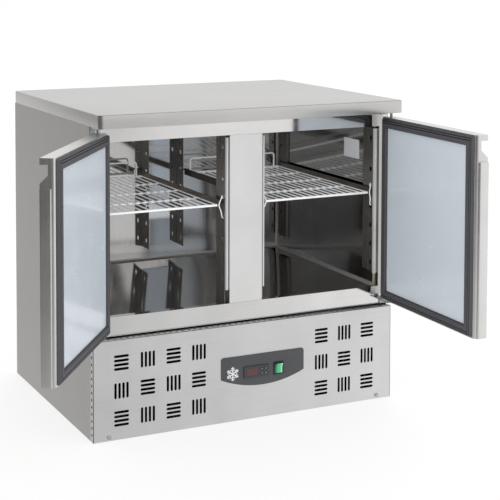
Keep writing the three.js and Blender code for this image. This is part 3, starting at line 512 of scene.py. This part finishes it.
def build_worktop():
    """The folded top: rounded upright corners and softly folded edges over a closed rim."""
    low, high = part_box("worktop")
    corner = 0.012
    fold = 0.0022
    steps = 10
    x, y = high.x - corner, high.y - corner
    middle_y = (low.y + high.y) / 2
    y -= middle_y

    def outline(inset):
        radius = corner - inset
        points = arc((x, y), radius, 0, 90, steps) + arc((-x, y), radius, 90, 180, steps)
        points += arc((-x, -y), radius, 180, 270, steps) + arc((x, -y), radius, 270, 360, steps)
        return [(a, b + middle_y) for a, b in points]

    bm = bmesh.new()
    levels = [(fold, low.z), (0.0004, low.z + 0.0004), (0.0, low.z + fold)]
    for angle in (0, 30, 60, 90):
        turn = math.radians(angle)
        levels.append((fold * (1 - math.cos(turn)), high.z - fold + fold * math.sin(turn)))
    rings = [[bm.verts.new((a, b, z)) for a, b in outline(inset)] for inset, z in levels]
    count = len(rings[0])
    for ring, above in zip(rings, rings[1:]):
        for i in range(count):
            j = (i + 1) % count
            bm.faces.new((ring[i], ring[j], above[j], above[i]))
    bm.faces.new(rings[-1])
    bm.faces.new(rings[0][::-1])
    piece("worktop_shell", bm, "top_steel", "cabinet", ["worktop"])


LINER_WALL = 0.001


def build_liner():
    """The polished tank, with coved edges round its floor and up its rear corners, the coves in a lighter,
    less metallic steel that paints their highlight.
    """
    low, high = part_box("liner")
    wall = LINER_WALL
    cove = 0.008
    bm = bmesh.new()
    box(bm, low + Vector((wall, 0, wall)), high - Vector((wall, wall, wall)))

    def at_front(element):
        return all(abs(v.co.y - low.y) < 1e-6 for v in element.verts)

    mouth = [face for face in bm.faces if at_front(face)]
    bmesh.ops.delete(bm, geom=mouth, context="FACES_ONLY")
    bends = [edge for edge in bm.edges if not at_front(edge)]
    bmesh.ops.bevel(bm, geom=bends, offset=cove, segments=5, profile=0.5, affect="EDGES")
    # Curved faces take the second slot, the lighter cove steel that paints the highlight along the coves.
    for face in bm.faces:
        face.normal_update()
        flat = max(abs(value) for value in face.normal) > 0.999
        face.material_index = 0 if flat else 1
    obj = piece("liner_tank", bm, "liner_steel", "cabinet", ["liner"])
    obj.data.materials.append(MATERIALS["cove_painted_highlight_steel"])
    obj.modifiers.clear()
    skin = obj.modifiers.new("thickness", "SOLIDIFY")
    skin.thickness = wall * 0.9
    skin.offset = 1.0
    add_smoothing(obj)


VENT = {"size": 0.0415, "width": 0.0068, "pitch": 0.0111}
LEFT_COLUMNS = 4
VENT_COLUMNS = (-0.371, -0.297, -0.2235, -0.15, 0.2235, 0.297, 0.371)
VENT_ROWS = (0.202, 0.1285, 0.0555)
RETURN_SLOT = {
    "each_side_of_middle": 25,
    "top_pitch": 0.0175,
    "up_the_side": 13,
    "side_pitch": 0.0184,
    "length": 0.009,
    "width": 0.007,
    "centre": 0.011,
}


def vent_slots():
    slots = []
    for row, z in enumerate(VENT_ROWS):
        for column, x in enumerate(VENT_COLUMNS):
            first = 0 if column < LEFT_COLUMNS else LEFT_COLUMNS
            level = (row + column - first) % 2 == 0
            for slot in (-1.5, -0.5, 0.5, 1.5):
                shift = slot * VENT["pitch"]
                centre = (x, z + shift) if level else (x + shift, z)
                slots.append(stadium(*centre, VENT["size"], VENT["width"], level))
    return slots


def return_slots(centres, centre_y, level):
    """The row of short slots along the middle of one return of the panel."""
    length, width = RETURN_SLOT["length"], RETURN_SLOT["width"]
    if level:
        return [stadium(along, centre_y, length, width, True, 4) for along in centres]
    return [stadium(centre_y, along, length, width, False, 4) for along in centres]


def side_face(a, b, c):
    """An outline drawn in YZ; the third value is the X position."""
    return Vector((c, a, b))


CONTROLLER_HOLE = (0.0353, 0.0143)


def control_holes():
    """The openings behind the controller and the switch."""
    half_width, half_height = CONTROLLER_HOLE
    low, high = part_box("controller_body")
    x, z = (low.x + high.x) / 2, (low.z + high.z) / 2
    controller = rectangle(x - half_width, x + half_width, z - half_height, z + half_height)
    low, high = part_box("switch_housing")
    rim = 0.0012
    return [controller, rectangle(low.x + rim, high.x - rim, low.z + rim, high.z - rim)]


def build_grille_panel():
    """The folded front panel, with rows of small slots along its top and side returns."""
    low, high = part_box("front_grille_panel")
    centre_y = low.y + RETURN_SLOT["centre"]
    bm = bmesh.new()
    face = rectangle(low.x, high.x, low.z, high.z)
    punched_sheet(bm, face, vent_slots() + control_holes(), low.y, low.y + SHEET, facing_front)
    count = RETURN_SLOT["each_side_of_middle"]
    top_centres = [k * RETURN_SLOT["top_pitch"] for k in range(-count, count + 1)]
    top = rectangle(low.x, high.x, low.y, high.y)
    punched_sheet(bm, top, return_slots(top_centres, centre_y, True), high.z - SHEET, high.z, upright)
    side_centres = [(k + 1) * RETURN_SLOT["side_pitch"] for k in range(RETURN_SLOT["up_the_side"])]
    side = rectangle(low.y, high.y, low.z, high.z)
    for x in (low.x, high.x - SHEET):
        punched_sheet(bm, side, return_slots(side_centres, centre_y, False), x, x + SHEET, side_face)
    piece("grille_panel", bm, "panel_steel", "cabinet", ["front_grille_panel"])


LABEL = {"y": (-0.178, -0.096), "z": (0.664, 0.719), "corner": 0.004}


def build_label_plate():
    """A plain plate with no print, stuck on the right inner wall."""
    _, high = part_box("liner")
    wall = high.x - LINER_WALL
    y0, y1 = LABEL["y"]
    z0, z1 = LABEL["z"]
    r = LABEL["corner"]
    outline = arc((y1 - r, z1 - r), r, 0, 90, 4) + arc((y0 + r, z1 - r), r, 90, 180, 4)
    outline += arc((y0 + r, z0 + r), r, 180, 270, 4) + arc((y1 - r, z0 + r), r, 270, 360, 4)
    bm = bmesh.new()
    prism(bm, outline, wall - 0.0006, wall - 0.0001, side_face)
    piece("blank_label_plate", bm, "label_white", "cabinet")


def dress_cabinet():
    for name, _ in SIDES:
        dress(f"side_panel_{name}", "side_steel")
        for edge in ("jamb", "mullion"):
            dress(f"breaker_strip_{name}_{edge}", "pale_strip", 0.0006)
        for end in ("top", "bottom"):
            dress(f"hinge_bracket_{name}_{end}", "hardware_steel", 0.0005)
        dress(f"panel_screw_{name}", "hardware_steel", 0.0004)
    dress("front_frame", "rail_steel")
    dress("centre_mullion", "mullion_steel", 0.0004)
    dress("back_panel", "galvanised")
    dress("base_pan", "galvanised")
    dress("insulation", "foam")
    dress("compressor", "enamel")
    dress("condenser", "enamel", 0.0005)
    dress("condenser_fan_motor", "hardware_steel", 0.0006)
    dress("condenser_fan_blade", "aluminium", 0.0004)
    dress("evaporator_plate", "aluminium", 0.0006)
    dress("suction_pipe", "copper")


# ---------------------------------------------------------------- shelves


def build_shelf(name):
    """A white coated wire shelf: thick rim bars, thin wires from front to back, a rear upstand."""
    node = f"shelf_{name}"
    low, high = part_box(node)
    upstand = 0.044
    top = high.z - upstand
    rim, thin, cross = 0.0033, 0.002, 0.0025
    bm = bmesh.new()
    for y in (low.y + rim, high.y - rim):
        tube(bm, [(low.x, y, top - rim), (high.x, y, top - rim)], rim, 12)
    cross_bars = 3
    pitch_y = (high.y - low.y) / (cross_bars + 1)
    for bar in range(1, cross_bars + 1):
        y = low.y + bar * pitch_y
        tube(bm, [(low.x, y, top - 0.006), (high.x, y, top - 0.006)], cross)
    wires = 16
    ends, under = 0.002, 0.0021
    first, last = low.x + thin, high.x - thin
    for wire in range(wires):
        x = first + (last - first) * wire / (wires - 1)
        tube(bm, [(x, low.y + ends, top - under), (x, high.y - ends, top - under)], thin, 8)
    inset, loop = 0.0165, 0.0025
    y = high.y - 0.0035
    corners = [
        (low.x + inset, y, top - 0.003),
        (low.x + inset, y, high.z - loop),
        (high.x - inset, y, high.z - loop),
        (high.x - inset, y, top - 0.003),
    ]
    tube(bm, rounded_path(corners, 0.009), loop)
    piece(f"wire_shelf_{name}", bm, "white_wire", f"sliding_shelf_{name}", [node])


def dress_shelving():
    dress("centre_upright_front", "post_steel", 0.0004)
    dress("centre_upright_rear", "rear_post_steel", 0.0004)
    for end in ("front", "rear"):
        for name, _ in SIDES:
            dress(f"wall_upright_{name}_{end}", "post_steel", 0.0004)
    for name, _ in SIDES:
        for edge in ("outer", "inner"):
            dress(f"shelf_runner_{name}_{edge}", "runner_steel", 0.0003)
            dress(f"shelf_clip_{name}_{edge}", "white_wire")
        build_shelf(name)


# ---------------------------------------------------------------- doors


def door_placer(name, side):
    """Turns a point of a door in its own closed frame into its open place."""
    joint = JOINTS[f"door_{name}_hinge"]
    axis = Vector((joint["pos_m"][0], joint["pos_m"][1], 0.0))
    opened = math.radians(-joint["range_deg"][0]) * side
    turn = Matrix.Rotation(opened, 4, "Z")

    def place(across, towards_cabinet, z):
        return axis + turn @ Vector((-side * across, towards_cabinet, z))

    return place


GASKET = {"hinge": -0.001, "free": 0.422, "seat": 0.0236}


def gasket_section():
    """Half-round ribs and the wide band of the seal: distance in from the rim, and height."""
    section = [(0.0, 0.0), (0.0, 0.0036), (0.0006, 0.0042)]
    for centre, half, top in ((0.0028, 0.0018, 0.0074), (0.0080, 0.0021, 0.0089)):
        section.append((centre - half, 0.0016))
        section += [
            (centre - half * math.cos(math.radians(a)), top - half + half * math.sin(math.radians(a)))
            for a in range(0, 181, 30)
        ]
        section.append((centre + half, 0.0016))
    section += [(0.0117, 0.0016), (0.0117, 0.0084), (0.0128, 0.0096), (0.0150, 0.0100)]
    section += [(0.0205, 0.0100), (0.0230, 0.0095), (0.0240, 0.0082), (0.0242, 0.0)]
    return section


def build_gasket(name, side):
    node = f"door_{name}_gasket"
    low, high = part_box(node)
    place = door_placer(name, side)
    bm = bmesh.new()
    rings = []
    for inset, height in gasket_section():
        x0, x1 = GASKET["hinge"] + inset, GASKET["free"] - inset
        z0, z1 = low.z + inset, high.z - inset
        y = GASKET["seat"] + height
        rings.append([bm.verts.new(place(x, y, z)) for x, z in ((x0, z0), (x1, z0), (x1, z1), (x0, z1))])
    for ring, after in zip(rings, rings[1:] + rings[:1]):
        for k in range(4):
            j = (k + 1) % 4
            bm.faces.new((ring[k], ring[j], after[j], after[k]))
    piece(f"door_{name}_seal", bm, "gasket", f"door_{name}", [node])


def dress_doors():
    for name, side in SIDES:
        dress(f"door_{name}_skin", "door_steel", 0.0005)
        dress(f"door_{name}_foam", "foam")
        dress(f"door_{name}_inner_panel", "door_lining", 0.0014)
        build_gasket(name, side)


# ---------------------------------------------------------------- controls


def build_fascia():
    """The charcoal plate: square top corners with a small radius and a bowed lower edge."""
    low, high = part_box("control_fascia")
    middle = (low.x + high.x) / 2
    half = (high.x - low.x) / 2
    bow = 0.0265
    sweep = (half**2 + bow**2) / (2 * bow)
    reach = math.degrees(math.asin(half / sweep)) * 0.985
    radius = 0.008
    nose, below, above = 0.0006, low.z + bow - 0.0002, low.z + bow + 0.002
    outline = arc((middle, low.z + sweep), sweep, -90 - reach, -90 + reach, 28)
    outline += [(high.x - nose, below), (high.x, above)]
    outline += arc((high.x - radius, high.z - radius), radius, 0, 90, 7)
    outline += arc((low.x + radius, high.z - radius), radius, 90, 180, 7)
    outline += [(low.x, above), (low.x + nose, below)]
    bm = bmesh.new()
    punched_sheet(bm, outline, control_holes(), low.y, high.y, facing_front)
    piece("fascia_plate", bm, "charcoal", "cabinet", ["control_fascia"], 0.0005)


def snowflake_outline(centre, arm, half):
    """A six-armed flake with two pairs of branches on each arm, as one closed outline."""
    lean = Vector((math.sin(math.radians(60)), math.cos(math.radians(60))))
    across = Vector((-lean.y, lean.x))
    right_side = [Vector((half, half / math.tan(math.radians(30))))]
    for height, length in ((arm * 0.42, arm * 0.3), (arm * 0.68, arm * 0.24)):
        start = Vector((half, height))
        tip = start + lean * length
        back = tip + across * half * 1.3
        right_side += [start, tip, back, back - lean * ((back.x - half) / lean.x)]
    right_side.append(Vector((half, arm)))
    left_side = [Vector((-p.x, p.y)) for p in reversed(right_side[1:])]
    points = []
    for k in range(6):
        turn = Matrix.Rotation(math.radians(60 * k), 2)
        points += [turn @ p for p in right_side + left_side]
    return [(centre[0] + p.x, centre[1] + p.y) for p in points]


SNOWFLAKE = {"centre": (-0.051, 0.130), "arm": 0.019, "half_width": 0.0016}


def build_snowflake():
    low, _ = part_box("control_fascia")
    bm = bmesh.new()
    outline = snowflake_outline(SNOWFLAKE["centre"], SNOWFLAKE["arm"], SNOWFLAKE["half_width"])
    prism(bm, outline, low.y - 0.0003, low.y + 0.0002, facing_front)
    piece("snowflake_mark", bm, "print_white", "cabinet")


def build_display():
    """Three unlit seven-segment figures behind the dark window."""
    low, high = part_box("display_window")
    z = (low.z + high.z) / 2
    width, height, stroke = 0.0058, 0.0105, 0.0009
    bm = bmesh.new()
    for figure in (-1, 0, 1):
        x = (low.x + high.x) / 2 + figure * 0.0092
        bars = [(x, z + level * height / 2, width - 2.4 * stroke, stroke) for level in (-1, 0, 1)]
        for edge in (-1, 1):
            for half in (-1, 1):
                bar_x, bar_z = x + edge * width / 2, z + half * height / 4
                bars.append((bar_x, bar_z, stroke, height / 2 - 2.2 * stroke))
        for bar_x, bar_z, bar_width, bar_height in bars:
            w, h = bar_width / 2, bar_height / 2
            corners = rectangle(bar_x - w, bar_x + w, bar_z - h, bar_z + h)
            prism(bm, corners, low.y - 0.0001, low.y + 0.0001, facing_front)
    piece("display_figures", bm, "dim_red", "cabinet")


def key_mark(kind, x, z):
    """The mark on one key: a triangle up or down, a ring or a square."""
    size = 0.0016
    if kind == "upper_left":
        return [(x - size, z - size * 0.7), (x + size, z - size * 0.7), (x, z + size)]
    if kind == "lower_left":
        return [(x - size, z + size * 0.7), (x, z - size), (x + size, z + size * 0.7)]
    if kind == "upper_right":
        return arc((x, z), size * 0.8, 0, 330, 11)
    return rectangle(x - size * 0.8, x + size * 0.8, z - size * 0.8, z + size * 0.8)


def build_controls():
    build_fascia()
    build_snowflake()
    dress("controller_body", "controller_plastic", 0.0007)
    dress("display_window", "window")
    build_display()
    for kind in ("upper_left", "upper_right", "lower_left", "lower_right"):
        node = f"controller_key_{kind}"
        dress(node, "key_grey", 0.0006)
        low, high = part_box(node)
        bm = bmesh.new()
        outline = key_mark(kind, (low.x + high.x) / 2, (low.z + high.z) / 2)
        prism(bm, outline, low.y - 0.0001, low.y + 0.0002, facing_front)
        piece(f"key_mark_{kind}", bm, "print_grey", f"key_{kind}")
    dress("switch_housing", "black_plastic", 0.0006)
    low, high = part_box("switch_rocker")
    half = (high.x - low.x) / 2 - 0.0012
    MATERIALS["green_lens"] = lit_green("green_lens", (low.x + high.x) / 2, half)
    dress("switch_rocker", "green_lens", 0.0007)


# ---------------------------------------------------------------- stage


def side_light(tree, direction):
    """Studio brightness by direction: white to the right, a dark curtain to the left, dim above."""
    flat = add_node(tree, "VectorMath", {0: direction, 1: (1.0, 1.0, 0.0)}, operation="MULTIPLY")
    unit = add_node(tree, "VectorMath", {0: flat.outputs["Vector"]}, operation="NORMALIZE")
    inputs = {0: unit.outputs["Vector"], 1: (-0.995, -0.1, 0.0)}
    leftward = add_node(tree, "VectorMath", inputs, operation="DOT_PRODUCT").outputs["Value"]
    across = remap(tree, leftward, 0.0, 1.0, -1.0, 1.0)
    sides = grey_ramp(tree, across, ((0.28, 1.0), (0.575, 0.74), (0.67, 0.5), (0.9, 0.16)))
    rise = add_node(tree, "SeparateXYZ", {0: direction}).outputs["Z"]
    overhead = grey_ramp(tree, rise, ((0.42, 1.0), (0.8, 0.3)))
    return mix_multiply(tree, sides, overhead)


def mix_multiply(tree, first, second):
    """The product of two colours."""
    inputs = {"Fac": 1.0, "Color1": first, "Color2": second}
    return add_node(tree, "MixRGB", inputs, blend_type="MULTIPLY").outputs["Color"]


def floor_light(tree):
    """Brightness of the floor in reflections: white at the right, falling slowly to the left."""
    place = add_node(tree, "NewGeometry").outputs["Position"]
    inputs = {0: place, 1: (1.0, 0.35, 0.0)}
    across = add_node(tree, "VectorMath", inputs, operation="DOT_PRODUCT").outputs["Value"]
    share = remap(tree, across, 0.0, 1.0, -6.0, 1.0)
    levels = ((0.0, 0.1), (0.43, 0.13), (0.57, 0.34), (0.686, 0.6), (0.786, 0.71), (0.93, 1.0))
    return grey_ramp(tree, share, levels)


def background(tree, color, strength):
    """A background shader's output."""
    return add_node(tree, "Background", {"Color": color, "Strength": strength}).outputs[0]


def gradient_world():
    """White to the camera, even light on matt surfaces, and the studio's sides in reflections."""
    world = bpy.data.worlds.new("studio")
    world.use_nodes = True
    tree = world.node_tree
    tree.nodes.clear()
    direction = add_node(tree, "TexCoord").outputs["Generated"]
    studio = background(tree, side_light(tree, direction), 1.0)
    even = background(tree, (1.0, 1.0, 1.0, 1.0), 1.0)
    glossy = add_node(tree, "LightPath").outputs["Is Glossy Ray"]
    chosen = add_node(tree, "MixShader", {0: glossy, 1: even, 2: studio}).outputs[0]
    output = tree.nodes.new("ShaderNodeOutputWorld")
    tree.links.new(chosen, output.inputs["Surface"])
    bpy.context.scene.world = world


def area_light(name, location, target, size, power):
    """A rectangular light turned towards its target."""
    light = bpy.data.lights.new(name, "AREA")
    light.shape = "RECTANGLE"
    light.size, light.size_y = size
    light.energy = power
    obj = bpy.data.objects.new(name, light)
    obj.location = location
    obj.rotation_euler = (Vector(target) - Vector(location)).to_track_quat("-Z", "Y").to_euler()
    bpy.context.scene.collection.objects.link(obj)


def floor_material():
    """A white floor; in reflections it carries the same side light as the studio."""
    material, tree, shader = principled("floor_white", "#f6f6f5", 0.7)
    cloud = noise(tree, (2.0, 2.0, 2.0), 2.0)
    base = shade(tree, linear("#8c8c8b"), remap(tree, cloud, 0.985, 1.0))
    tree.links.new(base, shader.inputs["Base Color"])
    shader.inputs["Emission Color"].default_value = (1, 1, 1, 1)
    shader.inputs["Emission Strength"].default_value = 0.76
    reflected = add_node(tree, "Emission", {"Color": floor_light(tree)}).outputs[0]
    glossy = add_node(tree, "LightPath").outputs["Is Glossy Ray"]
    chosen = add_node(tree, "MixShader", {0: glossy, 1: shader.outputs[0], 2: reflected}).outputs[0]
    output = tree.nodes["Material Output"]
    tree.links.new(chosen, output.inputs["Surface"])
    return material


def build_floor():
    bm = bmesh.new()
    bmesh.ops.create_grid(bm, x_segments=8, y_segments=8, size=30.0)
    mesh = bpy.data.meshes.new("floor")
    bm.to_mesh(mesh)
    bm.free()
    floor = bpy.data.objects.new("floor", mesh)
    floor.location.z = cad_bounds[0].z - 0.0005
    mesh.materials.append(floor_material())
    bpy.context.scene.collection.objects.link(floor)


# The camera stands in front of the left door, turned towards the cabinet. Its frame is off the lens's
# axis, as in a picture cropped to one side, so its stand leans the viewing axis by these slopes.
# The leaning axis is longer than 1 by 1.4 %, which the length of the lens makes up for.
CAMERA = {
    "location": (-1.6288, -3.4222, 1.2381),
    "yaw": 24.46,
    "pitch": 3.46,
    "lens": 96.95,
    "slope_right": 0.0532,
    "slope_down": 0.1582,
}


def build_camera():
    data = bpy.data.cameras.new("camera")
    data.sensor_width = 36.0
    data.lens = CAMERA["lens"]
    camera = bpy.data.objects.new("camera", data)
    camera.location = CAMERA["location"]
    camera.rotation_euler = (math.radians(90 - CAMERA["pitch"]), 0.0, math.radians(-CAMERA["yaw"]))
    stand = bpy.data.objects.new("camera_stand", None)
    for obj in (stand, camera):
        bpy.context.scene.collection.objects.link(obj)
    lean = Matrix.Identity(4)
    lean[0][2] = -CAMERA["slope_right"]
    lean[1][2] = CAMERA["slope_down"]
    station = Matrix.LocRotScale(camera.location, camera.rotation_euler, None)
    camera.parent = stand
    camera.matrix_parent_inverse = station @ lean @ station.inverted()
    bpy.context.scene.camera = camera


def build_stage():
    gradient_world()
    build_floor()
    area_light("key", (1.2, -3.2, 2.8), (0.0, 0.0, 0.4), (2.6, 2.0), 8.0)
    build_camera()
    bpy.context.scene.view_settings.view_transform = "Standard"


build_worktop()
build_liner()
build_grille_panel()
build_label_plate()
dress_cabinet()
dress_shelving()
dress_doors()
build_controls()
build_stage()
